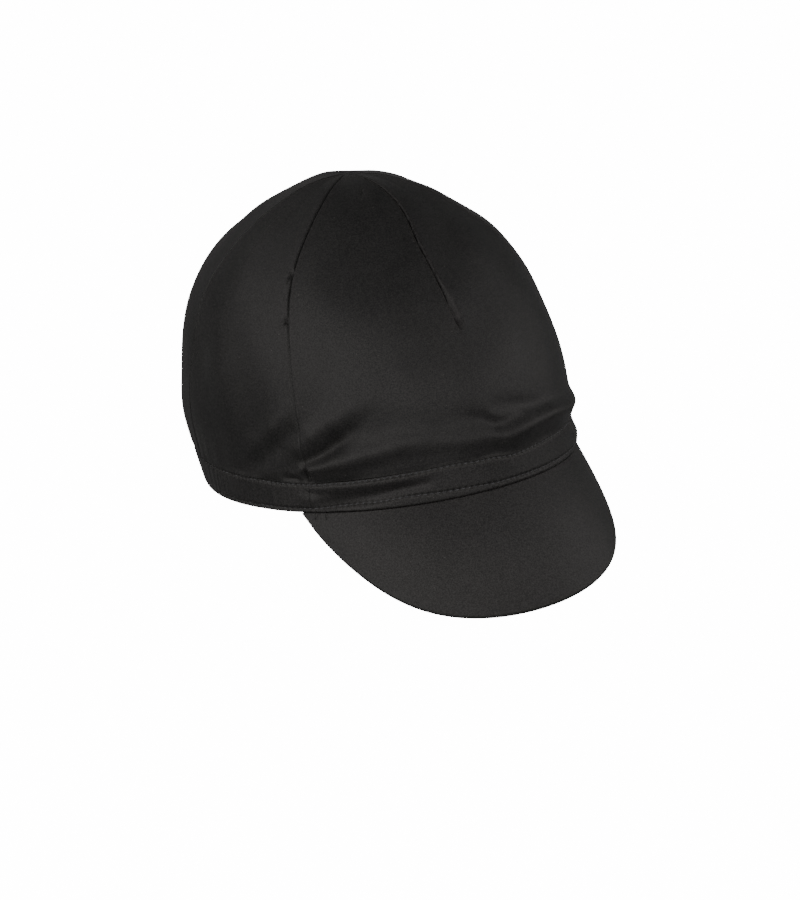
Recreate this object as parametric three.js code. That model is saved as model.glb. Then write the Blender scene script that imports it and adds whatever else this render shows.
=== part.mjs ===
// Cycling cap: a soft crown of four sewn panels on a stitched band, which is gathered on elastic at
// the back, and a short drooping peak of two cloth layers.
// Millimetres. In the cap's own frame the rim lies round the origin in the XY plane, the peak points
// to -Y and the crown to +Z. The whole cap is then tipped back about X, front up, as it is worn.
// Angles run round the cap from the front, positive towards +X, the wearer's left.
import * as THREE from "three";

// Head opening: an oval measured over the outside of the band. The rim dips at the sides and lifts
// at the middle of the front and of the back
const openingLength = 196;
const openingWidth = 170;
const sideDip = 1.2;
const frontLift = 2.9;
const backLift = 6.4;
const tipBack = 13;

// Cloth: one wall of crown cloth, the doubled band, the two layers of the peak, and the small gap
// that parts pieces which are sewn together
const crownWall = 1.4;
const bandWall = 2;
const peakUpperWall = 1.4;
const peakUnderWall = 1.2;
const seamGap = 0.3;

// Crown: its height above the band, how far its tip lies behind the opening's middle, and the
// small ring at the tip in which the panels end
const crownHeight = 121.5;
const tipSetback = 5.4;
const tipRadius = 1.2;

// Sections of the crown at even steps along the cloth from the band to the tip: their height as a
// share of the crown's height, their reach as shares of the opening's half length and half width,
// and how much fuller than an oval they are at the back quarters
const crownSections = [
  { up: 0.0, front: 1.0, back: 1.0, side: 1.0, quarters: 0.032 },
  { up: 0.142, front: 0.979, back: 1.037, side: 0.998, quarters: 0.05 },
  { up: 0.282, front: 0.933, back: 1.071, side: 0.987, quarters: 0.026 },
  { up: 0.421, front: 0.862, back: 1.072, side: 0.959, quarters: 0.008 },
  { up: 0.554, front: 0.769, back: 1.023, side: 0.904, quarters: 0.0 },
  { up: 0.674, front: 0.664, back: 0.92, side: 0.813, quarters: 0.0 },
  { up: 0.778, front: 0.56, back: 0.771, side: 0.684, quarters: 0.0 },
  { up: 0.866, front: 0.455, back: 0.584, side: 0.526, quarters: 0.0 },
  { up: 0.934, front: 0.336, back: 0.378, side: 0.357, quarters: 0.0 },
  { up: 0.98, front: 0.182, back: 0.177, side: 0.186, quarters: 0.0 },
  { up: 1.0, front: 0.0, back: 0.0, side: 0.0, quarters: 0.0 },
];

// Seams between the panels, as angles at the band and at the tip
const sideSeam = { band: 58, tip: 54 };
const backSeam = { band: 110, tip: 101 };

// The crease along each seam and dart, how far above the band the cloth starts to fold freely, and
// the share of the cloth's climb at which the darts begin
const creaseDepth = 0.9;
const creaseWidth = 2.6;
const looseAfter = 2.5;
const dartBegins = 0.36;
const dartFade = 0.05;

// Folds of the crown cloth: straight stretches from one place to another, each place an angle and
// a share of the climb from the band to the tip. Width and height are shares of the two sizes here,
// ridges stand out and valleys go in
const foldWidth = 12;
const foldHeight = 4;
const crownRidges = [
  { fromAngle: -76, fromClimb: 0.09, toAngle: -60, toClimb: 0.175, wide: 0.6, high: 0.3 },
  { fromAngle: -60, fromClimb: 0.065, toAngle: -51, toClimb: 0.125, wide: 0.5, high: 0.4 },
  { fromAngle: -51, fromClimb: 0.125, toAngle: -42, toClimb: 0.17, wide: 0.6, high: 0.35 },
  { fromAngle: -58, fromClimb: 0.034, toAngle: -38, toClimb: 0.062, wide: 0.42, high: 0.65 },
  { fromAngle: -38, fromClimb: 0.062, toAngle: -22, toClimb: 0.078, wide: 0.55, high: 0.6 },
  { fromAngle: -22, fromClimb: 0.06, toAngle: 4, toClimb: 0.055, wide: 0.6, high: 0.35 },
  { fromAngle: 4, fromClimb: 0.052, toAngle: 16, toClimb: 0.058, wide: 0.55, high: 0.55 },
  { fromAngle: 16, fromClimb: 0.058, toAngle: 44, toClimb: 0.036, wide: 0.5, high: 0.65 },
  { fromAngle: 44, fromClimb: 0.036, toAngle: 58, toClimb: 0.045, wide: 0.5, high: 0.4 },
];
const crownValleys = [
  { fromAngle: -75, fromClimb: 0.045, toAngle: -61, toClimb: 0.135, wide: 0.5, high: 0.45 },
  { fromAngle: -58, fromClimb: 0.052, toAngle: -50, toClimb: 0.085, wide: 0.32, high: 0.8 },
  { fromAngle: -50, fromClimb: 0.085, toAngle: -40, toClimb: 0.15, wide: 0.5, high: 0.8 },
  { fromAngle: -64, fromClimb: 0.01, toAngle: -58, toClimb: 0.01, wide: 0.35, high: 0.3 },
  { fromAngle: -58, fromClimb: 0.012, toAngle: -40, toClimb: 0.016, wide: 0.3, high: 0.7 },
  { fromAngle: -40, fromClimb: 0.016, toAngle: -18, toClimb: 0.024, wide: 0.42, high: 0.7 },
  { fromAngle: -18, fromClimb: 0.018, toAngle: 8, toClimb: 0.016, wide: 0.42, high: 0.45 },
  { fromAngle: 8, fromClimb: 0.016, toAngle: 40, toClimb: 0.02, wide: 0.4, high: 0.75 },
  { fromAngle: -7, fromClimb: 0.12, toAngle: 2, toClimb: 0.085, wide: 0.5, high: 0.3 },
  { fromAngle: 2, fromClimb: 0.085, toAngle: 13, toClimb: 0.088, wide: 0.5, high: 0.3 },
  { fromAngle: 6, fromClimb: 0.128, toAngle: 25, toClimb: 0.09, wide: 0.6, high: 0.25 },
  { fromAngle: -100, fromClimb: 0.3, toAngle: -97, toClimb: 0.34, wide: 1.1, high: 0.45 },
  { fromAngle: 2, fromClimb: 0.34, toAngle: 3, toClimb: 0.38, wide: 0.5, high: 0.3 },
];

// Band: its height, the folds of its front as angles and shares of that height, the share of the
// opening by which the elastic draws in the rim at the back quarters, and the gathers it pulls up
const bandHeight = 14.5;
const bandRidges = [
  { fromAngle: -56, fromClimb: 0.72, toAngle: -22, toClimb: 0.78, wide: 0.25, high: 0.1 },
  { fromAngle: 47, fromClimb: 0.6, toAngle: 58, toClimb: 0.3, wide: 0.8, high: 0.35 },
];
const bandValleys = [
  { fromAngle: -55, fromClimb: 0.32, toAngle: -44, toClimb: 0.5, wide: 0.3, high: 0.3 },
  { fromAngle: -44, fromClimb: 0.5, toAngle: -24, toClimb: 0.6, wide: 0.22, high: 0.25 },
];
const elasticPull = 0.014;
const gatherCount = 42;
const gatherDepth = 0.45;

// Peak: the angle at which it ends on either side, how far its middle reaches forward of its ends
// and drops below the rim, how far its edge swells sideways at the quarters and beside the tip, the
// power that rounds its outline, the camber across it, and the width that it keeps at its ends
const peakEnd = 61;
const peakReach = 77;
const peakDrop = 49.6;
const peakSwell = 7.4;
const peakTipSwell = 3.2;
const peakRoundness = 1.2;
const peakCamber = 2.4;
const peakEndWidth = 5;

// How finely each piece is divided
const frontColumns = 28;
const sideColumns = 11;
const backColumns = 22;
const crownRows = 22;
const rowCrowding = 1.5;
const bandRows = 4;
const peakColumns = 28;
const peakRows = 6;

const radians = THREE.MathUtils.degToRad;
const halfLength = openingLength / 2;
const halfWidth = openingWidth / 2;
const { lerp, clamp, smoothstep } = THREE.MathUtils;

// How far the rim stands above the plane of its sides at an angle
function rimLift(angle) {
  const ahead = Math.cos(radians(angle));
  return (ahead > 0 ? frontLift : backLift) * ahead ** 2 - sideDip;
}

// How much an oval with fuller back quarters is widened at an angle
function fullness(quarters, angle) {
  return Math.cos(radians(angle)) < 0 ? 1 + quarters * Math.sin(radians(2 * angle)) ** 2 : 1;
}

// A point of the band's outside at a share of its height, pushed out or in by a distance. The band
// leans out towards the fuller foot of the crown
function bandPoint(angle, share, push) {
  const full = fullness(lerp(-elasticPull, crownSections[0].quarters, share), angle);
  const turn = radians(angle);
  const plan = new THREE.Vector2(halfWidth * Math.sin(turn), -halfLength * Math.cos(turn));
  const outward = new THREE.Vector2(plan.x / halfWidth ** 2, plan.y / halfLength ** 2).normalize();
  plan.multiplyScalar(full).addScaledVector(outward, push);
  return new THREE.Vector3(plan.x, plan.y, rimLift(angle) + bandHeight * share);
}

// One column of the table of sections between its rows, smooth over the tip, where a reach runs on
// as far behind the axis as it came
function sectionValue(name, climb) {
  const last = crownSections.length - 1;
  const row = clamp(Math.floor(climb * last), 0, last - 1);
  const t = climb * last - row;
  const value = (index) => {
    if (index < 0) return 2 * crownSections[0][name] - crownSections[1][name];
    if (index <= last) return crownSections[index][name];
    return (name === "up" ? 1 : -1) * crownSections[2 * last - index][name];
  };
  const [a, b, c, d] = [value(row - 1), value(row), value(row + 1), value(row + 2)];
  return b + (t * (c - a + t * (2 * a - 5 * b + 4 * c - d + t * (3 * (b - c) + d - a)))) / 2;
}

// The smooth crown without folds: a place is an angle and a share of the climb from band to tip
function crownForm(angle, climb) {
  const across = Math.sin(radians(angle));
  const ahead = Math.cos(radians(angle));
  const up = sectionValue("up", climb);
  const reach = sectionValue(ahead > 0 ? "front" : "back", climb);
  const full = fullness(sectionValue("quarters", climb), angle);
  return new THREE.Vector3(
    halfWidth * sectionValue("side", climb) * across * full,
    -halfLength * reach * ahead * full + tipSetback * up ** 2,
    bandHeight + seamGap + rimLift(angle) * (1 - up) + crownHeight * up,
  );
}

const tinyAngle = 0.05;
const tinyClimb = 0.0005;

// How fast the crown form moves round the cap at a place, in millimetres a degree
function roundwise(angle, climb) {
  const step = crownForm(angle + tinyAngle, climb).sub(crownForm(angle - tinyAngle, climb));
  return step.divideScalar(2 * tinyAngle);
}

function crownNormal(angle, climb) {
  const low = clamp(climb, tinyClimb, 1 - 2 * tinyClimb);
  const upward = crownForm(angle, low + tinyClimb).sub(crownForm(angle, low - tinyClimb));
  return roundwise(angle, low).cross(upward).normalize();
}

// The length of the cloth from the band to the tip, along the side of the crown
const profileSteps = 40;
let clothLength = 0;
for (let i = 0; i < profileSteps; i += 1) {
  clothLength += crownForm(90, i / profileSteps).distanceTo(crownForm(90, (i + 1) / profileSteps));
}

// The height of the tallest fold in a list at a place: each fold is a soft ridge along its line
function tallest(folds, angle, climb, climbLength) {
  const mmPerDegree = radians((halfLength + halfWidth) / 2);
  let height = 0;
  for (const fold of folds) {
    const line = new THREE.Line3(
      new THREE.Vector3(fold.fromAngle * mmPerDegree, fold.fromClimb * climbLength, 0),
      new THREE.Vector3(fold.toAngle * mmPerDegree, fold.toClimb * climbLength, 0),
    );
    const place = new THREE.Vector3(angle * mmPerDegree, climb * climbLength, 0);
    const away = line.closestPointToPoint(place, true, new THREE.Vector3()).distanceTo(place);
    const spread = (fold.wide * foldWidth) / 2;
    height = Math.max(height, fold.high * foldHeight * Math.exp(-((away / spread) ** 2)));
  }
  return height;
}

// A crease sinks by its depth on its line and fades over its width
function crease(distance) {
  return creaseDepth * Math.exp(-((distance / creaseWidth) ** 2) * 2);
}

function seamAngle(seam, climb) {
  return lerp(seam.band, seam.tip, smoothstep(climb, 0, 1));
}

// Angles at the front of the folds' table run from -180 to 180
function wrapped(angle) {
  return angle > 180 ? angle - 360 : angle;
}

// How far the crown cloth lies outside its smooth form. The cloth is held flat on the band's edge
function crownRise(angle, climb, toSeam, dartAngle) {
  const free = 1 - Math.exp(-(((climb * clothLength) / looseAfter) ** 2));
  const ridge = tallest(crownRidges, wrapped(angle), climb, clothLength);
  const valley = tallest(crownValleys, wrapped(angle), climb, clothLength);
  let rise = free * (ridge - valley - crease(toSeam));
  if (dartAngle !== null) {
    const toDart = Math.abs(angle - dartAngle) * roundwise(angle, climb).length();
    rise -= crease(toDart) * smoothstep(climb, dartBegins - dartFade, dartBegins + dartFade);
  }
  return rise;
}

// A closed wall between two grids of points, given as functions of column and row. Columns cross
// rows anticlockwise as seen from outside
function closedWall(columns, rows, outside, inside) {
  const points = [];
  for (const side of [outside, inside]) {
    for (let i = 0; i <= columns; i += 1) {
      for (let j = 0; j <= rows; j += 1) points.push(...side(i, j).toArray());
    }
  }
  const outer = (i, j) => i * (rows + 1) + j;
  const inner = (i, j) => (columns + 1) * (rows + 1) + outer(i, j);
  const faces = [];
  const quad = (a, b, c, d) => faces.push(a, b, c, a, c, d);
  for (let i = 0; i < columns; i += 1) {
    for (let j = 0; j < rows; j += 1) {
      quad(outer(i, j), outer(i + 1, j), outer(i + 1, j + 1), outer(i, j + 1));
      quad(inner(i, j), inner(i, j + 1), inner(i + 1, j + 1), inner(i + 1, j));
    }
    quad(outer(i, 0), inner(i, 0), inner(i + 1, 0), outer(i + 1, 0));
    quad(outer(i, rows), outer(i + 1, rows), inner(i + 1, rows), inner(i, rows));
  }
  for (let j = 0; j < rows; j += 1) {
    quad(outer(0, j), outer(0, j + 1), inner(0, j + 1), inner(0, j));
    quad(outer(columns, j), inner(columns, j), inner(columns, j + 1), outer(columns, j + 1));
  }
  const geometry = new THREE.BufferGeometry();
  geometry.setAttribute("position", new THREE.Float32BufferAttribute(points, 3));
  geometry.setIndex(faces);
  geometry.computeVertexNormals();
  return geometry;
}

// Where the columns of a panel stand: even shares of its width, with one more beside each edge
// and on both sides of a dart, nudged off it by the width of the crease
function columnPlaces(columns, hasDart) {
  const places = [{ share: 0, nudge: 0 }, { share: 0, nudge: 1 }];
  for (let i = 1; i < columns; i += 1) {
    const onDart = hasDart && 2 * i === columns;
    if (onDart) places.push({ share: 0.5, nudge: -1 });
    places.push({ share: i / columns, nudge: 0 });
    if (onDart) places.push({ share: 0.5, nudge: 1 });
  }
  places.push({ share: 1, nudge: -1 }, { share: 1, nudge: 0 });
  return places;
}

// One panel of the crown between two seams. left and right give the seams' angles at a climb
function crownPanel(left, right, columns, dartAngle) {
  const places = columnPlaces(columns, dartAngle !== null);
  const topClimb = 1 - tipRadius / clothLength;
  const point = (i, j, depth) => {
    const climb = topClimb * (j / crownRows) ** rowCrowding;
    const middle = (left(climb) + right(climb)) / 2;
    const halfGap = seamGap / 2 / roundwise(right(climb), climb).length();
    const from = left(climb) + halfGap;
    const to = right(climb) - halfGap;
    const speed = roundwise(middle, climb).length();
    const nudge = Math.min(creaseWidth / speed, (to - from) / columns / 2);
    const angle = lerp(from, to, places[i].share) + places[i].nudge * nudge;
    const toSeam = Math.min(angle - from, to - angle) * speed;
    const push = crownRise(angle, climb, toSeam, dartAngle) - depth;
    return crownForm(angle, climb).addScaledVector(crownNormal(angle, climb), push);
  };
  return closedWall(places.length - 1, crownRows, (i, j) => point(i, j, 0), (i, j) => point(i, j, crownWall));
}

// How far the folds of the band's cloth stand out or in
function bandRise(angle, share) {
  return tallest(bandRidges, angle, share, bandHeight) - tallest(bandValleys, angle, share, bandHeight);
}

// The front of the band, flat cloth with a long shallow fold
function bandFront() {
  const halfGap = seamGap / 2 / radians(halfLength);
  const end = sideSeam.band - halfGap;
  const point = (i, j, depth) => {
    const angle = lerp(-end, end, i / frontColumns);
    const share = j / bandRows;
    return bandPoint(angle, share, bandRise(angle, share) - depth);
  };
  return closedWall(frontColumns, bandRows, (i, j) => point(i, j, 0), (i, j) => point(i, j, bandWall));
}

// The back of the band, gathered on its elastic into small upright waves
function bandBack() {
  const halfGap = seamGap / 2 / radians(halfLength);
  const start = sideSeam.band + halfGap;
  const end = 360 - start;
  const columns = gatherCount * 4;
  const point = (i, j, depth) => {
    const angle = lerp(start, end, i / columns);
    const wave = gatherDepth * Math.sin((i * Math.PI) / 2);
    return bandPoint(angle, j, wave + bandRise(wrapped(angle), j) - depth);
  };
  return closedWall(columns, 1, (i, j) => point(i, j, 0), (i, j) => point(i, j, bandWall));
}

// The peak's upper surface: rows run from its free edge in to the rim, columns from end to end
function peakForm(across, inward) {
  const endTurn = Math.PI / 2 - peakEndWidth / (peakReach + peakDrop / 2);
  const turn = across * endTurn;
  const rim = bandPoint(across * peakEnd, 0, 0);
  rim.z -= seamGap;
  const end = bandPoint(peakEnd, 0, 0);
  const edge = new THREE.Vector3(
    end.x * Math.sin(turn) + peakSwell * Math.sin(2 * turn) + peakTipSwell * Math.sin(4 * turn),
    end.y - peakReach * Math.cos(turn) ** peakRoundness,
    end.z - peakDrop * Math.cos(turn),
  );
  const point = edge.lerp(rim, inward);
  const camber = peakCamber * Math.sin(Math.PI * inward) * Math.cos(turn);
  const slope = Math.atan2(peakDrop, peakReach - end.y - halfLength);
  point.y -= camber * Math.sin(slope);
  point.z += camber * Math.cos(slope);
  return point;
}

function peakNormal(across, inward) {
  const tiny = 0.002;
  const side = clamp(across, -1 + tiny, 1 - tiny);
  const depth = clamp(inward, tiny, 1 - tiny);
  const alongEdge = peakForm(side + tiny, depth).sub(peakForm(side - tiny, depth));
  const towardRim = peakForm(side, depth + tiny).sub(peakForm(side, depth - tiny));
  return alongEdge.cross(towardRim).normalize();
}

// One cloth layer of the peak between two depths under its upper surface
function peakLayer(top, bottom) {
  const point = (i, j, depth) => {
    const across = lerp(-1, 1, i / peakColumns);
    const inward = j / peakRows;
    return peakForm(across, inward).addScaledVector(peakNormal(across, inward), -depth);
  };
  return closedWall(peakColumns, peakRows, (i, j) => point(i, j, top), (i, j) => point(i, j, bottom));
}

const crownCloth = new THREE.MeshStandardMaterial({ color: 0x2b2a2a, roughness: 0.85, metalness: 0 });
const bandCloth = new THREE.MeshStandardMaterial({ color: 0x2a2929, roughness: 0.85, metalness: 0 });
const peakCloth = new THREE.MeshStandardMaterial({ color: 0x2d2c2c, roughness: 0.8, metalness: 0 });

const cap = new THREE.Group();
cap.rotation.x = -radians(tipBack);

function addPiece(name, geometry, material) {
  const mesh = new THREE.Mesh(geometry, material);
  mesh.name = name;
  cap.add(mesh);
}

const rightSideSeam = (climb) => -seamAngle(sideSeam, climb);
const leftSideSeam = (climb) => seamAngle(sideSeam, climb);
const rightBackSeam = (climb) => -seamAngle(backSeam, climb);
const leftBackSeam = (climb) => seamAngle(backSeam, climb);
const aroundToRight = (climb) => 360 - seamAngle(backSeam, climb);
const underTop = peakUpperWall + seamGap;

addPiece("crown_front_panel", crownPanel(rightSideSeam, leftSideSeam, frontColumns, 0), crownCloth);
addPiece("crown_right_panel", crownPanel(rightBackSeam, rightSideSeam, sideColumns, null), crownCloth);
addPiece("crown_left_panel", crownPanel(leftSideSeam, leftBackSeam, sideColumns, null), crownCloth);
addPiece("crown_back_panel", crownPanel(leftBackSeam, aroundToRight, backColumns, 180), crownCloth);
addPiece("band_front", bandFront(), bandCloth);
addPiece("band_back", bandBack(), bandCloth);
addPiece("peak_upper", peakLayer(0, peakUpperWall), peakCloth);
addPiece("peak_under", peakLayer(underTop, underTop + peakUnderWall), peakCloth);

const part = new THREE.Group();
part.add(cap);

export default part;
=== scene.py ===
"""A black cotton cycling cap, dressed on its frame: sewn crown, stitched band, drooping peak and threads."""

import math

import bpy
import numpy as np
from mathutils import Matrix, Vector


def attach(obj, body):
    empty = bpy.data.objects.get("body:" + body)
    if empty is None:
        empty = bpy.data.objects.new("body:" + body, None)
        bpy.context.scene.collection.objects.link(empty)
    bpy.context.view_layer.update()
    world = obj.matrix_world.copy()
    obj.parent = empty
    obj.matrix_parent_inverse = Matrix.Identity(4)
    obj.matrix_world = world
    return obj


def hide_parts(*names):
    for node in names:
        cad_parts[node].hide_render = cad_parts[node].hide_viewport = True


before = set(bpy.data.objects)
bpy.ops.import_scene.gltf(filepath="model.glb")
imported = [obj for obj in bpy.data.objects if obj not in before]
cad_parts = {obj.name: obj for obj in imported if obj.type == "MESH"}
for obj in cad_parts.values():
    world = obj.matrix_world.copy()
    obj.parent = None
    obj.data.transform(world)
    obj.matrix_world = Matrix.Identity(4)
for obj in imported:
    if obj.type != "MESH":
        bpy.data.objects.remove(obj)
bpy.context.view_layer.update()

# Camera. The cap is seen from the wearer's right front and from above, through a long lens, so that
# its parallel lines stay nearly parallel.
VIEW_AZIMUTH = math.radians(-32)
VIEW_ELEVATION = math.radians(26)
VIEW_DISTANCE = 1.8
METRES_PER_PIXEL = 0.000472
PICTURE_HEIGHT = 900
SENSOR = 36
AIM_RIGHT = 0.0059
AIM_UP = 0.0029

view_back = Vector((
    math.sin(VIEW_AZIMUTH) * math.cos(VIEW_ELEVATION),
    -math.cos(VIEW_AZIMUTH) * math.cos(VIEW_ELEVATION),
    math.sin(VIEW_ELEVATION),
))
view_right = Vector((math.cos(VIEW_AZIMUTH), math.sin(VIEW_AZIMUTH), 0))
view_up = view_back.cross(view_right)
bpy.ops.object.camera_add(
    location=view_back * VIEW_DISTANCE + view_right * AIM_RIGHT + view_up * AIM_UP,
    rotation=Matrix((view_right, view_up, view_back)).transposed().to_euler(),
)
camera = bpy.context.object
camera.data.sensor_width = SENSOR
camera.data.lens = SENSOR * VIEW_DISTANCE / (METRES_PER_PIXEL * PICTURE_HEIGHT)
bpy.context.scene.camera = camera


# Studio. A wide pale floor and a pale backdrop glow evenly, and only the camera sees their glow. The
# cap, which hovers in the form a head gives it, is lit by wide soft lamps: three high up and one lower
# in front, one at each side, one behind the wearer's right and one below.
FLOOR_DROP = 0.163
FLOOR_SIZE = 30
BACKDROP_RADIUS = 14
PALE_GLOW = 15.0
WORLD_GREY = 0.095
WARM_LIGHT = (1.0, 0.96, 0.94)
LIGHTS = [
    dict(name="high_front_light", azimuth=-30, elevation=48, wide=3.0, watts=5.0),
    dict(name="high_right_light", azimuth=-88, elevation=46, wide=1.5, watts=1.8),
    dict(name="high_left_light", azimuth=42, elevation=42, wide=1.5, watts=1.1),
    dict(name="front_light", azimuth=-28, elevation=24, wide=3.0, watts=5.3),
    dict(name="right_side_light", azimuth=-104, elevation=14, wide=1.5, watts=3.5),
    dict(name="right_rear_light", azimuth=-138, elevation=38, wide=1.2, watts=1.7),
    dict(name="left_side_light", azimuth=64, elevation=17, wide=1.5, watts=3.5),
    dict(name="low_light", azimuth=-40, elevation=-18, wide=3.0, watts=2.8),
]
LIGHT_DISTANCE = 1.5
LIGHT_TALL = 0.9


def direction(azimuth, elevation):
    """The unit vector from the cap towards a place round it, azimuth 0 in front."""
    flat = math.cos(math.radians(elevation))
    return Vector((
        math.sin(math.radians(azimuth)) * flat,
        -math.cos(math.radians(azimuth)) * flat,
        math.sin(math.radians(elevation)),
    ))


pale = bpy.data.materials.new("pale")
pale.use_nodes = True
pale_surface = pale.node_tree.nodes["Principled BSDF"]
pale_surface.inputs["Base Color"].default_value = (0.9, 0.9, 0.9, 1)
pale_surface.inputs["Roughness"].default_value = 0.9
pale_surface.inputs["Emission Color"].default_value = (1, 1, 1, 1)
pale_surface.inputs["Emission Strength"].default_value = PALE_GLOW

bpy.ops.object.select_all(action="DESELECT")
bpy.ops.mesh.primitive_plane_add(size=FLOOR_SIZE, location=(0, 0, -FLOOR_DROP))
floor = bpy.context.object
floor.name = "floor"
bpy.ops.mesh.primitive_uv_sphere_add(segments=48, ring_count=24, radius=BACKDROP_RADIUS)
backdrop = bpy.context.object
backdrop.name = "backdrop"
for studio_wall in (floor, backdrop):
    studio_wall.data.materials.append(pale)
    studio_wall.visible_diffuse = False
    studio_wall.visible_glossy = False
    studio_wall.visible_transmission = False
    studio_wall.visible_shadow = False

world = bpy.data.worlds.new("studio")
world.use_nodes = True
world.node_tree.nodes["Background"].inputs["Color"].default_value = (WORLD_GREY, WORLD_GREY, WORLD_GREY, 1)
bpy.context.scene.world = world

for light in LIGHTS:
    towards = direction(light["azimuth"], light["elevation"])
    bpy.ops.object.light_add(type="AREA", location=towards * LIGHT_DISTANCE)
    lamp = bpy.context.object
    lamp.name = light["name"]
    lamp.rotation_euler = towards.to_track_quat("Z", "Y").to_euler()
    lamp.data.shape = "RECTANGLE"
    lamp.data.size = light["wide"]
    lamp.data.size_y = LIGHT_TALL
    lamp.data.energy = light["watts"]
    lamp.data.color = WARM_LIGHT


# Crown. Four panels of thin black cotton are sewn together from the band to the tip, the front and
# back ones each with a dart. A head holds the cloth in a dome. Just above the band it is slack, rolls
# over the stitching and folds.
OPENING_LENGTH = 0.196
OPENING_WIDTH = 0.17
SIDE_DIP = 0.0012
FRONT_LIFT = 0.0029
BACK_LIFT = 0.0064
TIP_BACK = math.radians(13)
BAND_HEIGHT = 0.0145
CROWN_HEIGHT = 0.1215
CROWN_FOOT = 0.0003
TIP_SETBACK = 0.0054
CROWN_SECTIONS = [
    dict(up=0.0, front=1.0, back=1.0, side=1.0, quarters=0.032),
    dict(up=0.142, front=0.979, back=1.037, side=0.998, quarters=0.05),
    dict(up=0.282, front=0.933, back=1.071, side=0.987, quarters=0.026),
    dict(up=0.421, front=0.862, back=1.072, side=0.959, quarters=0.008),
    dict(up=0.554, front=0.769, back=1.023, side=0.904, quarters=0.0),
    dict(up=0.674, front=0.664, back=0.92, side=0.813, quarters=0.0),
    dict(up=0.778, front=0.56, back=0.771, side=0.684, quarters=0.0),
    dict(up=0.866, front=0.455, back=0.584, side=0.526, quarters=0.0),
    dict(up=0.934, front=0.336, back=0.378, side=0.357, quarters=0.0),
    dict(up=0.98, front=0.182, back=0.177, side=0.186, quarters=0.0),
    dict(up=1.0, front=0.0, back=0.0, side=0.0, quarters=0.0),
]
CLOTH_LENGTH = 0.168
RIGHT_SIDE_SEAM = (58, 56)
LEFT_SIDE_SEAM = (58, 46)
BACK_SEAM = (110, 101)
DART_BEGINS = 0.36
DART_FADE = 0.03
DART_LEAN = 3.6
DART_TURNS = (0.57, 0.76)
DART_SUNK = 1.5
CREASE_DEPTH = 0.001
CREASE_WIDTH = 0.00045
ALLOWANCE_WIDTH = 0.003
ALLOWANCE_RISE = 0.00012
GORE_RISE = 0.001
GORE_WIDTH = 0.022
GORE_BEGINS = (0.3, 0.62)
GORE_ENDS = (0.0, 0.12)
TIP_RING = 0.0002
TIP_CALM = (0.004, 0.05)
# The band's upper edge above the rim: angle from the front, millimetres.
BAND_TOP = [
    (-180, 14.5), (-75, 14.3), (-66, 13.6), (-57, 13.35), (-47, 14.1), (-38, 14.6), (-29, 15.1),
    (-15, 15.6), (-2, 14.6), (7, 13.3), (18, 13.9), (24, 14.4), (36, 14.5), (180, 14.5),
]
FOOT_REACH = 0.014
FOOT_INSET = 0.00015
FOOT_TUCK = 0.0003
FOOT_ROLL = 0.0018
SEAM_PRESSED = 0.3
SEAM_FREED = (0.3, 0.5)
PUCKER = 0.12
PUCKER_LENGTHS = (0.0013, 0.0041)
HEM_ROWS = 8
HEM_DEPTH = 0.0017
HEM_DROP = 0.005
CROWN_WALL = 0.0009
CLOTH_GRID = 0.0011
COLUMNS_BUNCHED = 0.8
ROWS_BUNCHED = 1.2

# Folds as chains of places: angle from the front, share of the climb, height and width in millimetres.
CROWN_RIDGES = [
    [(-81, 0.06, 0.3, 8), (-74.5, 0.09, 1.1, 8), (-67, 0.14, 1.5, 8), (-60, 0.19, 0.6, 9)],
    [(-59, 0.085, 1.4, 6), (-54, 0.12, 2.4, 8), (-47, 0.158, 2.6, 10), (-40, 0.19, 1.2, 12),
     (-34, 0.22, 0.3, 14)],
    [(-58, 0.038, 2.3, 5.5), (-45, 0.052, 3.3, 9.5), (-37, 0.063, 3.2, 10), (-28, 0.076, 2.7, 11),
     (-21, 0.072, 1.8, 12)],
    [(-24, 0.07, 1.4, 11), (-10, 0.058, 1.8, 10), (4, 0.05, 2.1, 9)],
    [(4, 0.05, 2.2, 9), (15, 0.056, 3.2, 9), (26, 0.058, 3.8, 9), (39, 0.046, 3.7, 8), (58, 0.04, 1.6, 7)],
    [(-65, 0.014, 0.5, 4), (-61, 0.02, 1.0, 3.5), (-59.5, 0.036, 1.2, 3.5)],
    [(80, 0.08, 0.3, 9), (90, 0.12, 1.0, 9), (100, 0.18, 0.4, 10)],
    [(150, 0.06, 0.4, 8), (165, 0.075, 1.1, 8), (182, 0.06, 0.5, 9)],
]
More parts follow.
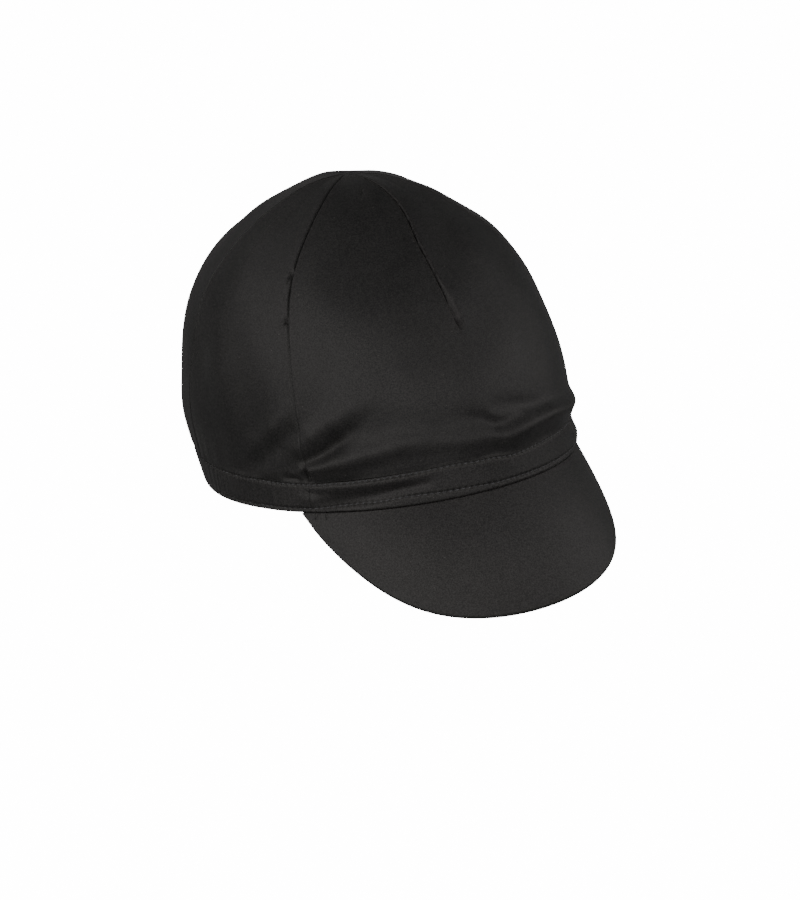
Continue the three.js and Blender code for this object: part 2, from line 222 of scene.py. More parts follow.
CROWN_VALLEYS = [
    [(-81, 0.02, 0.3, 8), (-74, 0.045, 0.9, 8), (-67, 0.09, 1.1, 8.5), (-61, 0.135, 0.7, 7)],
    [(-58, 0.05, 1.7, 3.8), (-52, 0.069, 2.9, 6.2), (-47, 0.094, 3.0, 7.5), (-41.5, 0.128, 2.2, 7.5),
     (-37, 0.162, 0.5, 7)],
    [(-65, 0.012, 1.2, 4), (-61.5, 0.011, 1.5, 3)],
    [(-57.5, 0.0, 2.4, 3.6), (-57.6, 0.03, 2.6, 3.2), (-58, 0.056, 1.0, 2.2)],
    [(-9, 0.125, 0.3, 7), (-2.5, 0.106, 1.0, 6), (2, 0.082, 1.2, 6), (6, 0.078, 1.1, 6), (14, 0.09, 0.3, 8)],
    [(4, 0.13, 0.5, 8), (14, 0.112, 0.9, 7), (25, 0.088, 0.5, 7)],
    [(-101, 0.29, 0.8, 18), (-96, 0.35, 0.9, 16)],
    [(0.4, 0.34, 0.3, 1.6), (0.8, 0.365, 1.8, 3.0), (0.8, 0.4, 1.8, 3.0), (0.4, 0.46, 0.8, 2)],
    [(-58.7, 0.53, 0.4, 1.6), (-57.7, 0.556, 1.8, 2.4)],
    [(-60.2, 0.411, 0.4, 1.4), (-58, 0.42, 1.9, 2.2)],
    [(-20, 0.83, 0.5, 5), (-17, 0.85, 0.8, 4)],
    [(70, 0.03, 0.5, 8), (84, 0.06, 1.4, 8), (96, 0.11, 0.5, 8)],
    [(128, 0.02, 0.4, 8), (150, 0.03, 1.0, 7), (172, 0.022, 0.5, 7)],
]
SLACK_FOLDS = [
    [(-38, 0.2, 0.4, 26), (-22, 0.2, 1.1, 26), (-8, 0.19, 0.8, 24), (4, 0.2, 0.3, 24)],
]
LOOSE_AFTER = 0.0012
WAVINESS = 0.0005
WAVE_LENGTHS = (0.024, 0.06)
WAVE_COUNT = 14
CROWN_ELASTIC = (62, 80)
GATHER_RISE = 0.00016
GATHER_REACH = 0.012
CROWN_GATHERS = 61
CROWN_DRIFT = (3, 0.11)
TURN_STEP = 0.05
CLIMB_STEP = 0.0005


def section(name, climb):
    """One column of the table of sections at a share of the climb, smooth over the tip."""
    rows = [row[name] for row in CROWN_SECTIONS]
    last = len(rows) - 1
    turn = 1 if name == "up" else -1
    padded = np.array([2 * rows[0] - rows[1]] + rows + [turn * rows[last - 1], turn * rows[last - 2]])
    row = np.clip(np.floor(climb * last), 0, last - 1).astype(int)
    t = climb * last - row
    a, b, c, d = padded[row], padded[row + 1], padded[row + 2], padded[row + 3]
    return b + t * (c - a + t * (2 * a - 5 * b + 4 * c - d + t * (3 * (b - c) + d - a))) / 2


def rim_lift(angle):
    """The rim's height, which rises a little in front and behind."""
    ahead = np.cos(np.radians(angle))
    return np.where(ahead > 0, FRONT_LIFT, BACK_LIFT) * ahead**2 - SIDE_DIP


def eased(table, angle):
    """A height in metres round the cap, from a table of angles and millimetres, level at each of them."""
    around = (angle + 180) % 360 - 180
    angles, heights = np.array(table).T
    row = np.clip(np.searchsorted(angles, around, side="right") - 1, 0, len(angles) - 2)
    t = (around - angles[row]) / (angles[row + 1] - angles[row])
    return (heights[row] + (heights[row + 1] - heights[row]) * t * t * (3 - 2 * t)) / 1000


def fullness(quarters, angle):
    """How much an oval with fuller back quarters is widened at an angle."""
    behind = np.cos(np.radians(angle)) < 0
    return 1 + np.where(behind, quarters * np.sin(np.radians(2 * angle)) ** 2, 0)


def crown_form(angle, climb):
    """The smooth crown without folds, in the cap's own frame."""
    across, ahead = np.sin(np.radians(angle)), np.cos(np.radians(angle))
    up = section("up", climb)
    reach = np.where(ahead > 0, section("front", climb), section("back", climb))
    full = fullness(section("quarters", climb), angle)
    return np.stack([
        OPENING_WIDTH / 2 * section("side", climb) * across * full,
        -OPENING_LENGTH / 2 * reach * ahead * full + TIP_SETBACK * up**2,
        BAND_HEIGHT + CROWN_FOOT + rim_lift(angle) * (1 - up) + CROWN_HEIGHT * up,
    ], -1)


def unit(vectors):
    return vectors / np.linalg.norm(vectors, axis=-1, keepdims=True)


def crown_normal(angle, climb):
    """The direction straight out of the smooth crown."""
    inside = np.clip(climb, 0.0006, 0.999)
    around = crown_form(angle + TURN_STEP, inside) - crown_form(angle - TURN_STEP, inside)
    upward = crown_form(angle, inside + CLIMB_STEP) - crown_form(angle, inside - CLIMB_STEP)
    return unit(np.cross(around, upward))


def metres_per_degree(angle, climb):
    """How far the crown form moves for each degree round the cap."""
    across = crown_form(angle + TURN_STEP, climb) - crown_form(angle - TURN_STEP, climb)
    return np.linalg.norm(across, axis=-1) / (2 * TURN_STEP)


def tallest(folds, angle, climb, climb_length):
    """The height in metres of the cloth over a list of folds, blended where they meet."""
    around = np.radians((OPENING_LENGTH + OPENING_WIDTH) / 4) * 1000
    x, y = angle * around, climb * climb_length * 1000
    power, total = 8, np.zeros_like(x)
    for fold in folds:
        for (a0, c0, h0, w0), (a1, c1, h1, w1) in zip(fold, fold[1:]):
            x0, y0 = a0 * around, c0 * climb_length * 1000
            dx, dy = (a1 - a0) * around, (c1 - c0) * climb_length * 1000
            t = np.clip(((x - x0) * dx + (y - y0) * dy) / (dx * dx + dy * dy), 0, 1)
            away = np.hypot(x - x0 - t * dx, y - y0 - t * dy)
            spread = (w0 + (w1 - w0) * t) / 2
            total += ((h0 + (h1 - h0) * t) * np.exp(-((away / spread) ** 2))) ** power
    return total ** (1 / power) / 1000


chance = np.random.default_rng(7)
wave_direction = unit(chance.normal(size=(WAVE_COUNT, 3)))
wave_length = chance.uniform(*WAVE_LENGTHS, WAVE_COUNT)
wave_start = chance.uniform(0, 2 * math.pi, WAVE_COUNT)


def waviness(places):
    """The slight unevenness of worn cotton, the same on both sides of a seam."""
    phase = places @ (wave_direction / wave_length[:, None]).T * 2 * math.pi + wave_start
    return np.sin(phase).sum(-1) * WAVINESS / math.sqrt(WAVE_COUNT)


def smoothstep(value, low, high):
    t = np.clip((value - low) / (high - low), 0, 1)
    return t * t * (3 - 2 * t)


def seam_angle(seam, climb):
    return seam[0] + (seam[1] - seam[0]) * smoothstep(climb, 0, 1)


def seam_profile(distance, strength):
    """Cloth sinks into a seam and lies a little higher over the allowance folded beneath it."""
    crease = CREASE_DEPTH * np.exp(-((distance / CREASE_WIDTH) ** 2))
    return strength * (ALLOWANCE_RISE * np.exp(-((distance / ALLOWANCE_WIDTH) ** 2)) - crease)


def gore_profile(distance, climb):
    """Towards the tip each gore lies flatter between its seams, which stand up as soft edges."""
    peaked = np.clip(1 - distance / GORE_WIDTH, 0, 1) ** 2 - 0.25
    return GORE_RISE * peaked * smoothstep(climb, *GORE_BEGINS) * smoothstep(1 - climb, *GORE_ENDS)


def dart_angle(climb):
    """Each dart leans a little as it nears the tip, the front one to the wearer's left."""
    return DART_LEAN * smoothstep(climb, *DART_TURNS)


def crown_rise(angle, climb, places, to_seam, dart):
    """How far the cloth lies outside the smooth form."""
    around = (angle + 180) % 360 - 180
    above_band = climb * CLOTH_LENGTH
    free = 1 - np.exp(-((above_band / LOOSE_AFTER) ** 2))
    folds = tallest(CROWN_RIDGES, around, climb, CLOTH_LENGTH)
    folds -= tallest(CROWN_VALLEYS, around, climb, CLOTH_LENGTH)
    folds += tallest(SLACK_FOLDS, around, climb, CLOTH_LENGTH)
    near_tip = smoothstep(1 - climb, *TIP_CALM)
    short, long = PUCKER_LENGTHS
    pucker = 1 + PUCKER * np.sin(above_band / short) * np.sin(above_band / long + angle)
    tight = SEAM_PRESSED + (1 - SEAM_PRESSED) * smoothstep(climb, *SEAM_FREED)
    rise = free * (folds + waviness(places)) + seam_profile(to_seam, tight * near_tip * pucker)
    to_edge = to_seam
    if dart is not None:
        to_dart = np.abs(angle - dart - dart_angle(climb)) * metres_per_degree(angle, climb)
        shown = smoothstep(climb, DART_BEGINS - DART_FADE, DART_BEGINS + DART_FADE)
        rise += seam_profile(to_dart, DART_SUNK * shown * near_tip * pucker)
        to_edge = np.minimum(to_seam, to_dart)
    rise += gore_profile(to_edge, climb)
    on_elastic = smoothstep(np.abs(around), *CROWN_ELASTIC)
    tuck = FOOT_INSET + FOOT_TUCK * (1 - on_elastic)
    rise -= tuck * np.exp(-((above_band / FOOT_ROLL) ** 2))
    pull = np.exp(-((above_band / GATHER_REACH) ** 2)) * free
    far, often = CROWN_DRIFT
    turn = np.radians(around) * CROWN_GATHERS + far * np.sin(around * often)
    return rise + GATHER_RISE * on_elastic * pull * np.sin(turn)


def tipped(places):
    """Turns places from the cap's own frame, in which its rim lies level, to front up, as it is worn."""
    x, y, z = places[:, 0], places[:, 1], places[:, 2]
    c, s = math.cos(TIP_BACK), math.sin(TIP_BACK)
    return np.stack([x, c * y + s * z, -s * y + c * z], -1)


def points_of(piece):
    """A piece's points, a row for each."""
    flat = np.empty(len(piece.data.vertices) * 3)
    piece.data.vertices.foreach_get("co", flat)
    return flat.reshape(-1, 3)


def move_points(piece, places):
    """Moves a piece's points to places given in the cap's own frame."""
    piece.data.vertices.foreach_set("co", tipped(places).ravel())
    piece.data.update()


def lay_sheet(name, columns, rows, shape, wall):
    """Lays out a flat grid of cloth and moves its points to their places on the cap, then thickens it.

    shape takes each point's shares of the grid's width and height. It gives the point's place in the
    cap's own frame and its place on the flat cloth.
    """
    bpy.ops.object.select_all(action="DESELECT")
    bpy.ops.mesh.primitive_grid_add(x_subdivisions=columns, y_subdivisions=rows, size=1)
    sheet = bpy.context.object
    sheet.name = name
    flat = points_of(sheet) + 0.5
    places, on_cloth = shape(flat[:, 0], flat[:, 1])
    corners = np.empty(len(sheet.data.loops), int)
    sheet.data.loops.foreach_get("vertex_index", corners)
    sheet.data.uv_layers[0].data.foreach_set("uv", on_cloth[corners].ravel())
    move_points(sheet, places)
    thicken = sheet.modifiers.new("thicken", "SOLIDIFY")
    thicken.thickness = wall
    thicken.offset = -1
    bpy.ops.object.modifier_apply(modifier="thicken")
    bpy.ops.object.shade_smooth_by_angle(angle=math.radians(50))
    return sheet


def crown_panel(name, left, right, dart):
    """One panel between two seams, given as functions of the climb. Its grid is finest along them."""
    middle = (left(0.0) + right(0.0)) / 2
    width = (right(0.0) - left(0.0)) * float(metres_per_degree(np.array(middle), np.array(0.0)))
    columns = 2 * round(width / CLOTH_GRID / 2)
    rows = round(CLOTH_LENGTH / CLOTH_GRID) + HEM_ROWS
    lines = 1 if dart is None else 2

    def shape(u, v):
        above = np.clip((v * rows - HEM_ROWS) / (rows - HEM_ROWS), 0, 1)
        hem = np.clip(1 - v * rows / HEM_ROWS, 0, 1)
        climb = (1 - TIP_RING / CLOTH_LENGTH) * above**ROWS_BUNCHED
        share = u - COLUMNS_BUNCHED * np.sin(2 * math.pi * lines * u) / (2 * math.pi * lines)
        from_angle, to_angle = left(climb), right(climb)
        lean = 0 if dart is None else dart_angle(climb) * (1 - np.abs(2 * share - 1))
        angle = from_angle + (to_angle - from_angle) * share + lean
        speed = metres_per_degree(angle, climb)
        to_seam = np.minimum(angle - from_angle, to_angle - angle) * speed
        form = crown_form(angle, climb)
        normal = crown_normal(angle, climb)
        rise = crown_rise(angle, climb, form, to_seam, dart) - HEM_DEPTH * smoothstep(hem, 0, 0.4)
        place = form + normal * rise[:, None]
        with_band = np.exp(-((climb * CLOTH_LENGTH / FOOT_REACH) ** 2))
        place[:, 2] += (eased(BAND_TOP, angle) - BAND_HEIGHT) * with_band - HEM_DROP * smoothstep(hem, 0.1, 1)
        on_cloth = np.stack([(angle - (from_angle + to_angle) / 2) * speed, climb * CLOTH_LENGTH], -1)
        return place, on_cloth

    return lay_sheet(name, columns, rows, shape, CROWN_WALL)


class Wire:
    """One value in a material. Arithmetic on it adds the Math nodes."""

    def __init__(self, finish, socket):
        self.finish = finish
        self.socket = socket

    def _math(self, operation, first, second):
        return self.finish.node("ShaderNodeMath", dict(operation=operation), {0: first, 1: second})

    def __add__(self, other):
        return self._math("ADD", self, other)

    def __radd__(self, other):
        return self._math("ADD", other, self)

    def __sub__(self, other):
        return self._math("SUBTRACT", self, other)

    def __rsub__(self, other):
        return self._math("SUBTRACT", other, self)

    def __mul__(self, other):
        return self._math("MULTIPLY", self, other)

    def __rmul__(self, other):
        return self._math("MULTIPLY", other, self)

    def __gt__(self, other):
        return self._math("GREATER_THAN", self, other)

    def __lt__(self, other):
        return self._math("LESS_THAN", self, other)


class Finish:
    """A material, and the one way in which nodes are added to it."""

    def __init__(self, name):
        self.material = bpy.data.materials.new(name)
        self.material.use_nodes = True
        self.tree = self.material.node_tree
        self.surface = self.tree.nodes["Principled BSDF"]

    def node(self, kind, settings, sockets, output=0):
        """Adds a node. Its sockets go by number or name. Of several with one name, the shown one counts."""
        made = self.tree.nodes.new(kind)
        for key, value in settings.items():
            setattr(made, key, value)
        for key, value in sockets.items():
            self.feed(self.shown(made.inputs, key), value)
        return Wire(self, self.shown(made.outputs, output))

    def mix(self, factor, first, second):
        """A colour between two others."""
        settings = dict(data_type="RGBA", clamp_factor=True)
        return self.node("ShaderNodeMix", settings, {"Factor": factor, "A": first, "B": second}, "Result")

    def noise(self, place, scale, detail, roughness=0.5):
        """Uneven soft spots round 0.5, of a size set by the scale."""
        sockets = {"Vector": place, "Scale": scale, "Detail": detail, "Roughness": roughness}
        return self.node("ShaderNodeTexNoise", {}, sockets, "Fac")

    def shown(self, sockets, key):
        if isinstance(key, int):
            return sockets[key]
        return next(socket for socket in sockets if socket.name == key and socket.enabled)

    def feed(self, socket, value):
        if isinstance(value, Wire):
            self.tree.links.new(value.socket, socket)
        else:
            socket.default_value = value


WEAVE_PITCH = 0.0004
WAVE_PER_PITCH = 0.314
WARP_TURN = 63
WARP_SHARE = 0.65
FUZZ_SCALE = 1600.0
DYE_SCALE = 45.0
LINT_SCALE = 420.0
LINT_SIZE = 0.1
LINT_RARITY = 0.64
LINT_SHOWS = 0.6
LINT_COLOUR = (0.12, 0.115, 0.11, 1)
FUZZ_TONE = 4.6
DYE_TONE = 0.7
WEAVE_TONE = 0.3


def black_cotton(name, dark, light):
    """Finely woven black cotton with a faint satin face: a twill, uneven dye, fuzz and specks of lint."""
    cloth = Finish(name)
    cloth_place = cloth.node("ShaderNodeTexCoord", {}, {}, "UV")
    place = cloth.node("ShaderNodeTexCoord", {}, {}, "Object")
    threads = {}
    for key, turn in (("warp", WARP_TURN), ("weft", WARP_TURN - 90)):
        turned = {"Vector": cloth_place, "Rotation": (0, 0, math.radians(turn))}
        laid = cloth.node("ShaderNodeMapping", {}, turned)
        threads[key] = cloth.node(
            "ShaderNodeTexWave",
            dict(wave_type="BANDS", bands_direction="X"),
            {
                "Vector": laid,
                "Scale": WAVE_PER_PITCH / WEAVE_PITCH,
                "Distortion": 1.2,
                "Detail": 2.0,
                "Detail Scale": 3.0,
            },
            "Fac",
        )
    weave = threads["warp"] * WARP_SHARE + threads["weft"] * (1 - WARP_SHARE)
    fuzz = cloth.noise(place, FUZZ_SCALE, 3.0, 0.8)
    dye = cloth.noise(place, DYE_SCALE, 5.0, 0.65)
    lint = cloth.node("ShaderNodeTexVoronoi", {}, {"Vector": place, "Scale": LINT_SCALE}, "Distance")
    rare = cloth.noise(place, 150.0, 1.0)
    speck = (LINT_SIZE > lint) * (rare > LINT_RARITY)
    tone = (fuzz - 0.5) * FUZZ_TONE + (dye - 0.5) * DYE_TONE + (weave - 0.5) * WEAVE_TONE + 0.5
    dyed = cloth.mix(tone, (*dark, 1), (*light, 1))
    dusted = cloth.mix(speck * LINT_SHOWS, dyed, LINT_COLOUR)
    relief = cloth.node(
        "ShaderNodeBump",
        {},
        {"Strength": 0.3, "Distance": 0.0002, "Height": weave * 0.5 + fuzz * 0.5},
        "Normal",
    )
    cloth.feed(cloth.surface.inputs["Base Color"], dusted)
    cloth.feed(cloth.surface.inputs["Roughness"], 0.42 + dye * 0.1)
    cloth.feed(cloth.surface.inputs["Normal"], relief)
    cloth.surface.inputs["Sheen Weight"].default_value = 0.08
    cloth.surface.inputs["Sheen Roughness"].default_value = 0.4
    return cloth.material


crown_cotton = black_cotton("crown_cotton", (0.002, 0.0019, 0.0019), (0.031, 0.03, 0.0295))


def right_side_seam(climb):
    return -seam_angle(RIGHT_SIDE_SEAM, climb)


def left_side_seam(climb):
    return seam_angle(LEFT_SIDE_SEAM, climb)


def left_back_seam(climb):
    return seam_angle(BACK_SEAM, climb)


def right_back_seam(climb):
    return -seam_angle(BACK_SEAM, climb)


def around_to_right(climb):
    return 360 - seam_angle(BACK_SEAM, climb)


crown_panels = [
    ("crown_front", "crown_front_panel", right_side_seam, left_side_seam, 0),
    ("crown_right", "crown_right_panel", right_back_seam, right_side_seam, None),
    ("crown_left", "crown_left_panel", left_side_seam, left_back_seam, None),
    ("crown_back", "crown_back_panel", left_back_seam, around_to_right, 180),
]
for name, node, left, right, dart in crown_panels:
    panel = crown_panel(name, left, right, dart)
    panel.data.materials.append(crown_cotton)
    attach(panel, "root")
    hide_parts(node)


# Band. A strip of the same cotton is folded double and topstitched along both edges. Its front lies
# flat, and its back is a casing in which elastic gathers the cloth into small upright waves.
BAND_SEAM_RIGHT = -58
BAND_SEAM_LEFT = 54
BAND_AROUND = 0.575
BAND_WALL = 0.0018
BAND_COLUMN = 0.0006
BAND_ROWS = 44
ELASTIC_PULL = 0.014
LIP = 0.0011
TOP_EDGE = 0.0002
STITCH_INSET = 0.0006
BAND_LEAN = 0.0014
LEAN_PIVOT = 0.45
LEAN_FADES = (62, 76)
# The lower row of stitches above the rim: angle from the front, millimetres.
LOWER_STITCHES = [
    (-180, 2.4), (-75, 2.0), (-58, 1.9), (-40, 3.3), (-28, 4.4), (-14, 3.7), (2, 2.6), (22, 2.5),
    (50, 2.4), (180, 2.4),
]
STITCH_PITCH = 0.0029
STITCH_DIMPLE = 0.0004
DIMPLE_WIDTH = 0.0007
DIMPLE_SWING = (1.1, 0.9)
LAP_ANGLE = 45.5
LAP_CURVE = 4
BAND_SEAM_SUNK = 0.4
# Folds as above, but with shares of the band's height.
BAND_RIDGES = [
    [(-58, 0.85, 0.4, 4), (-48, 0.86, 1.5, 6), (-38, 0.86, 1.5, 5.5), (-28, 0.86, 1.0, 4),
     (-18, 0.9, 0.2, 4)],
    [(-60, 0.5, 0.4, 6), (-57, 0.45, 0.7, 5)],
    [(40, 0.75, 0.3, 7), (50, 0.5, 1.3, 8), (60, 0.3, 1.2, 9)],
]
BAND_VALLEYS = [
    [(-54.5, 0.25, 0.8, 5), (-50, 0.27, 1.9, 8), (-42, 0.37, 2.0, 7), (-32, 0.5, 1.6, 4.5),
     (-22, 0.6, 0.6, 3.2)],
]
BAND_ELASTIC = (60, 74)
GATHER_DEPTH = 0.00015
GATHERS = 118
GATHER_DRIFTS = [(4, 0.19), (2.5, 0.47)]
GATHER_AT_EDGE = 0.55


def band_length(angle):
    """Metres along the band's outside from the front to an angle."""
    turns = np.radians(np.linspace(0, 360, 3601))
    speed = np.hypot(OPENING_WIDTH / 2 * np.cos(turns), OPENING_LENGTH / 2 * np.sin(turns))
    steps = speed * (turns[1] - turns[0])
    total = np.concatenate([[0], np.cumsum((steps[1:] + steps[:-1]) / 2)])
    return np.interp(np.abs(angle), np.degrees(turns), total) * np.sign(angle)


def band_form(angle, share, push):
    """A point of the band's outside at a share of its height, pushed out by a distance."""
    quarters = -ELASTIC_PULL + (CROWN_SECTIONS[0]["quarters"] + ELASTIC_PULL) * share
    full = fullness(quarters, angle)
    x = OPENING_WIDTH / 2 * np.sin(np.radians(angle))
    y = -OPENING_LENGTH / 2 * np.cos(np.radians(angle))
    out = unit(np.stack([x / OPENING_WIDTH**2, y / OPENING_LENGTH**2], -1))
    return np.stack([
        x * full + out[..., 0] * push,
        y * full + out[..., 1] * push,
        rim_lift(angle) + eased(BAND_TOP, angle) * share,
    ], -1)


def edge_round(distance, radius):
    """How far a folded edge has turned in at a distance from it."""
    inside = np.clip(1 - distance / radius, 0, 1)
    return radius * (1 - np.sqrt(1 - 0.98 * inside**2))


def band_rise(angle, share):
    """How far the band's cloth lies outside its smooth form: folds, stitch lines, edges and gathers."""
    around = (angle + 180) % 360 - 180
    top = eased(BAND_TOP, angle)
    height = share * top
    folds = tallest(BAND_RIDGES, around, share, BAND_HEIGHT)
    folds -= tallest(BAND_VALLEYS, around, share, BAND_HEIGHT)
    along = band_length(around)
    lean = BAND_LEAN * (LEAN_PIVOT - share) * (1 - smoothstep(np.abs(around), *LEAN_FADES))
    rise = folds + lean - edge_round(height, LIP) - edge_round(top - height, TOP_EDGE)
    steady, swing = DIMPLE_SWING
    for row in (top - STITCH_INSET, eased(LOWER_STITCHES, angle)):
        press = np.exp(-(((height - row) / DIMPLE_WIDTH) ** 2))
        rise -= STITCH_DIMPLE * press * (steady - swing * np.cos(2 * math.pi * along / STITCH_PITCH))
    rise += seam_profile(np.abs(along - band_length(LAP_ANGLE - LAP_CURVE * (1 - share) ** 2)), 1.0)
    on_elastic = smoothstep(np.abs(around), *BAND_ELASTIC)
    turn = np.radians(around) * GATHERS + 2 * share
    for far, often in GATHER_DRIFTS:
        turn += far * np.sin(around * often)
    fade = GATHER_AT_EDGE + (1 - GATHER_AT_EDGE) * np.sin(math.pi * share)
    return rise + GATHER_DEPTH * on_elastic * fade * (np.sin(turn) * 0.7 + np.sin(turn * 0.5 + 1) * 0.3)


def band_piece(name, start, end):
    """The stretch of band between two angles, with a seam at each end."""
    length = abs(end - start) / 360 * BAND_AROUND

    def shape(u, v):
        angle = start + (end - start) * u
        push = band_rise(angle, v) + seam_profile(np.minimum(u, 1 - u) * length, BAND_SEAM_SUNK)
        on_cloth = np.stack([u * length, v * BAND_HEIGHT], -1)
        return band_form(angle, v, push), on_cloth

    return lay_sheet(name, round(length / BAND_COLUMN), BAND_ROWS, shape, BAND_WALL)


# The band's cotton is the crown's cloth painted about a third lighter. The lighter colour is painted light
# that makes up for the light the peak keeps off the band.
band_cotton_painted_lighter = black_cotton("band_cotton_painted_lighter", (0.003, 0.0028, 0.0028), (0.041, 0.0395, 0.039))
for name, node, start, end in (
    ("band_front_strip", "band_front", BAND_SEAM_RIGHT, BAND_SEAM_LEFT),
    ("band_back_casing", "band_back", BAND_SEAM_LEFT, 360 + BAND_SEAM_RIGHT),
):
    strip = band_piece(name, start, end)
    strip.data.materials.append(band_cotton_painted_lighter)
    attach(strip, "root")
    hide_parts(node)


# Peak. Two layers of cotton are sewn face to face over a bent core and turned, so that the edge shows
# no stitches. The peak hangs from under the front of the band and bends round the brow.
PEAK_END = 61
PEAK_REACH = 0.077
PEAK_DROP = 0.0496
PEAK_SWELL = 0.0074
PEAK_TIP_SWELL = 0.0032
PEAK_ROUNDNESS = 1.2
PEAK_CAMBER = 0.0024
PEAK_END_WIDTH = 0.005
PEAK_UPPER_WALL = 0.0014
PEAK_UNDER_WALL = 0.0012
PEAK_CORE = 0.0003
PEAK_EDGE_ROUND = 0.0014
PEAK_COLUMNS = 300
PEAK_ROWS = 90
PEAK_TUCK_ROWS = 6
PEAK_TUCK = 0.0035
PEAK_TUCK_RISE = 0.004
PEAK_ROWS_BUNCHED = 1.3
PEAK_CLOTH_PER_REACH = 1.2
PEAK_STEP = 0.002


def peak_form(across, inward):
    """The peak's upper surface, from its free edge in to the rim and from end to end."""
    turn = across * (math.pi / 2 - PEAK_END_WIDTH / (PEAK_REACH + PEAK_DROP / 2))
    rim = band_form(across * PEAK_END, np.zeros_like(across), 0)
    rim[..., 2] -= CROWN_FOOT
    end = band_form(np.array(float(PEAK_END)), np.array(0.0), 0)
    edge = np.stack([
        end[0] * np.sin(turn) + PEAK_SWELL * np.sin(2 * turn) + PEAK_TIP_SWELL * np.sin(4 * turn),
        end[1] - PEAK_REACH * np.cos(turn) ** PEAK_ROUNDNESS,
        end[2] - PEAK_DROP * np.cos(turn),
    ], -1)
    place = edge + (rim - edge) * inward[:, None]
    camber = PEAK_CAMBER * np.sin(math.pi * inward) * np.cos(turn)
    slope = math.atan2(PEAK_DROP, PEAK_REACH - end[1] - OPENING_LENGTH / 2)
    place[:, 1] -= camber * math.sin(slope)
    place[:, 2] += camber * math.cos(slope)
    return place


def peak_normal(across, inward):
    """The direction straight out of the peak's upper surface."""
    side, deep = np.clip(across, PEAK_STEP - 1, 1 - PEAK_STEP), np.clip(inward, PEAK_STEP, 1 - PEAK_STEP)
    along = peak_form(side + PEAK_STEP, deep) - peak_form(side - PEAK_STEP, deep)
    towards_rim = peak_form(side, deep + PEAK_STEP) - peak_form(side, deep - PEAK_STEP)
    return unit(np.cross(along, towards_rim))


def peak_layer(name, depth, wall, side):
    """One layer under the upper surface. side is 1 where its outer face is the upper one, or -1."""

    def shape(u, v):
        across = side * (2 * u - 1)
        below = np.clip(v * PEAK_ROWS / (PEAK_ROWS - PEAK_TUCK_ROWS), 0, 1)
        tuck = np.clip((v * PEAK_ROWS - PEAK_ROWS + PEAK_TUCK_ROWS) / PEAK_TUCK_ROWS, 0, 1)
        inward = below**PEAK_ROWS_BUNCHED
        place, normal = peak_form(across, inward), peak_normal(across, inward)
        rim = np.stack([place[:, 0] / OPENING_WIDTH**2, place[:, 1] / OPENING_LENGTH**2, 0 * tuck], -1)
        place -= unit(rim) * (PEAK_TUCK * smoothstep(tuck, 0, 0.6))[:, None]
        place[:, 2] += PEAK_TUCK_RISE * smoothstep(tuck, 0.4, 1)
        edge_away = np.linalg.norm(place - peak_form(across, np.zeros_like(inward)), axis=-1)
        drop = depth + side * edge_round(edge_away, PEAK_EDGE_ROUND)
        on_cloth = np.stack([place[:, 0], -place[:, 1] * PEAK_CLOTH_PER_REACH], -1)
        return place - normal * drop[:, None], on_cloth

    return lay_sheet(name, PEAK_COLUMNS, PEAK_ROWS, shape, wall)


# The peak's cotton is the crown's cloth painted about a third lighter. The lighter colour is painted light on
# the peak.
peak_cotton_painted_lighter = black_cotton("peak_cotton_painted_lighter", (0.003, 0.0028, 0.0028), (0.04, 0.0385, 0.038))
peak_thickness = PEAK_UPPER_WALL + PEAK_CORE + PEAK_UNDER_WALL
for name, node, depth, wall, side in (
    ("peak_upper_cloth", "peak_upper", 0.0, PEAK_UPPER_WALL, 1),
    ("peak_under_cloth", "peak_under", peak_thickness, PEAK_UNDER_WALL, -1),
):
    layer = peak_layer(name, depth, wall, side)
    layer.data.materials.append(peak_cotton_painted_lighter)
    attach(layer, "root")
    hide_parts(node)


# Stitches. Two rows of lock stitches in a dull grey thread hold the band's edges. Each stitch is a short
# raised stretch of thread that leans a little and sinks into the cloth at both ends.
STITCH_LENGTH = 0.0023
STITCH_THICK = 0.0005
STITCH_SIDES = 6
STITCH_CUTS = (-0.0007, 0.0, 0.0007)
STITCH_LEAN = 0.00012
STITCH_STRAY = 0.0001
STITCH_PROUD = 0.2
STITCH_BEND = 0.75
STITCH_TAPER = 0.75
STITCH_HIDDEN = 0.00035
STITCH_ELASTIC = (60, 75)


def spun_thread(name, dark, light):
    """Dull spun thread, lighter where its fibres catch."""
    thread = Finish(name)
    place = thread.node("ShaderNodeTexCoord", {}, {}, "Object")
    grain = thread.noise(place, 700.0, 2.0)
    thread.feed(thread.surface.inputs["Base Color"], thread.mix(grain, (*dark, 1), (*light, 1)))
    thread.surface.inputs["Roughness"].default_value = 0.6
    return thread.material


grey_thread = spun_thread("grey_thread", (0.02, 0.021, 0.023), (0.16, 0.165, 0.175))


def straight_thread(name, length, thick, cuts):
    """A straight piece of thread along X, cut across where it will bend."""
    bpy.ops.object.select_all(action="DESELECT")
    bpy.ops.mesh.primitive_cylinder_add(
        vertices=STITCH_SIDES, radius=thick / 2, depth=length, rotation=(0, math.pi / 2, 0))
    piece = bpy.context.object
    piece.name = name
    bpy.ops.object.transform_apply(location=False, rotation=True, scale=False)
    bpy.ops.object.mode_set(mode="EDIT")
    for place in cuts:
        bpy.ops.mesh.select_all(action="SELECT")
        bpy.ops.mesh.bisect(plane_co=(place, 0, 0), plane_no=(1, 0, 0))
    bpy.ops.object.mode_set(mode="OBJECT")
    return piece


def lay_thread(piece, places):
    """Moves a thread's points to their places, turns its faces out and smooths it."""
    move_points(piece, places)
    bpy.ops.object.mode_set(mode="EDIT")
    bpy.ops.mesh.select_all(action="SELECT")
    bpy.ops.mesh.normals_make_consistent(inside=False)
    bpy.ops.object.mode_set(mode="OBJECT")
    bpy.ops.object.shade_smooth()


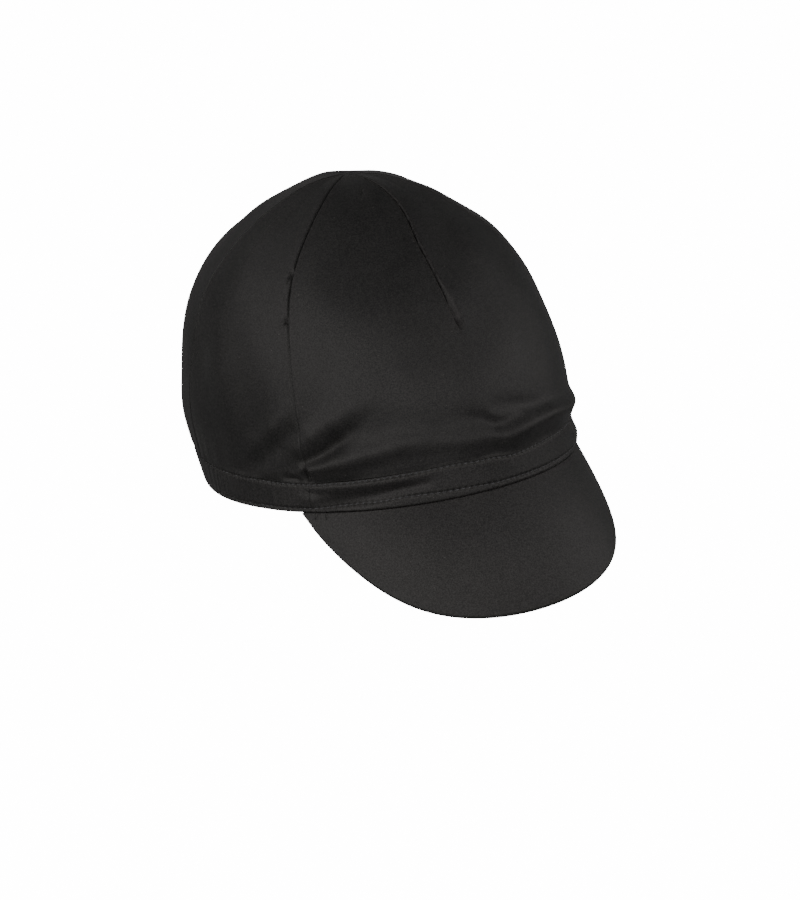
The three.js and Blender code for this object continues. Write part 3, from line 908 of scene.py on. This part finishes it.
def stitch_row(name, row_height):
    """One row of stitches right round the band: one stitch, repeated and then laid along the row."""
    angles = np.linspace(-180, 180, 7201)
    distances = band_length(angles)
    count = int((distances[-1] - distances[0]) / STITCH_PITCH)
    row = straight_thread(name, STITCH_LENGTH, STITCH_THICK, STITCH_CUTS)
    repeat = row.modifiers.new("repeat", "ARRAY")
    repeat.count = count
    repeat.use_relative_offset = False
    repeat.use_constant_offset = True
    repeat.constant_offset_displace = (STITCH_PITCH, 0, 0)
    bpy.ops.object.modifier_apply(modifier="repeat")
    x, y, z = points_of(row).T
    number = np.round(x / STITCH_PITCH).astype(int)
    step = (x - number * STITCH_PITCH) / (STITCH_LENGTH / 2)
    first = math.ceil(distances[0] / STITCH_PITCH) * STITCH_PITCH
    angle = np.interp(first + x, distances, angles)
    top = eased(BAND_TOP, angle)
    lean = STITCH_LEAN + chance.uniform(-STITCH_STRAY, STITCH_STRAY, count)[number]
    hidden = chance.uniform(0, STITCH_HIDDEN, count)[number] * smoothstep(np.abs(angle), *STITCH_ELASTIC)
    centre = row_height(angle) + lean * step
    slim = np.sqrt(1 - STITCH_TAPER * np.clip(step**2, 0, 1))
    sink = STITCH_THICK * (STITCH_PROUD - STITCH_BEND * step**2) - hidden
    push = band_rise(angle, centre / top) + sink + z * slim
    lay_thread(row, band_form(angle, (centre - y * slim) / top, push))
    return row


def upper_row(angle):
    return eased(BAND_TOP, angle) - STITCH_INSET


def lower_row(angle):
    return eased(LOWER_STITCHES, angle)


for name, row_height in (("upper_stitches", upper_row), ("lower_stitches", lower_row)):
    row = stitch_row(name, row_height)
    row.data.materials.append(grey_thread)
    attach(row, "root")


# Thread ends. Where the topstitching starts beside the right side seam, two cut ends of its thread hang
# from the band's lower edge over the peak.
THREAD_ENDS = [
    dict(name="thread_end_right", angle=-56.2, length=0.0044, stray=-0.0003),
    dict(name="thread_end_left", angle=-53.2, length=0.005, stray=0.0009),
]
THREAD_END_THICK = 0.0003
THREAD_END_START = 0.0012
THREAD_END_PROUD = 0.0004
THREAD_END_BOW = 0.0012
THREAD_END_CURL = 0.8
black_thread = spun_thread("black_thread", (0.004, 0.004, 0.004), (0.02, 0.02, 0.02))
for end in THREAD_ENDS:
    half = end["length"] / 2
    cut_end = straight_thread(end["name"], end["length"], THREAD_END_THICK, (-half / 2, 0.0, half / 2))
    x, y, z = points_of(cut_end).T
    down = (x + half) / end["length"]
    angle = end["angle"] + np.degrees((y + end["stray"] * down**2) / (OPENING_WIDTH / 2))
    level = THREAD_END_START - (x + half)
    proud = THREAD_END_PROUD + THREAD_END_BOW * np.sin(down * math.pi * THREAD_END_CURL)
    lay_thread(cut_end, band_form(angle, level / eased(BAND_TOP, angle), z + proud))
    cut_end.data.materials.append(black_thread)
    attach(cut_end, "root")
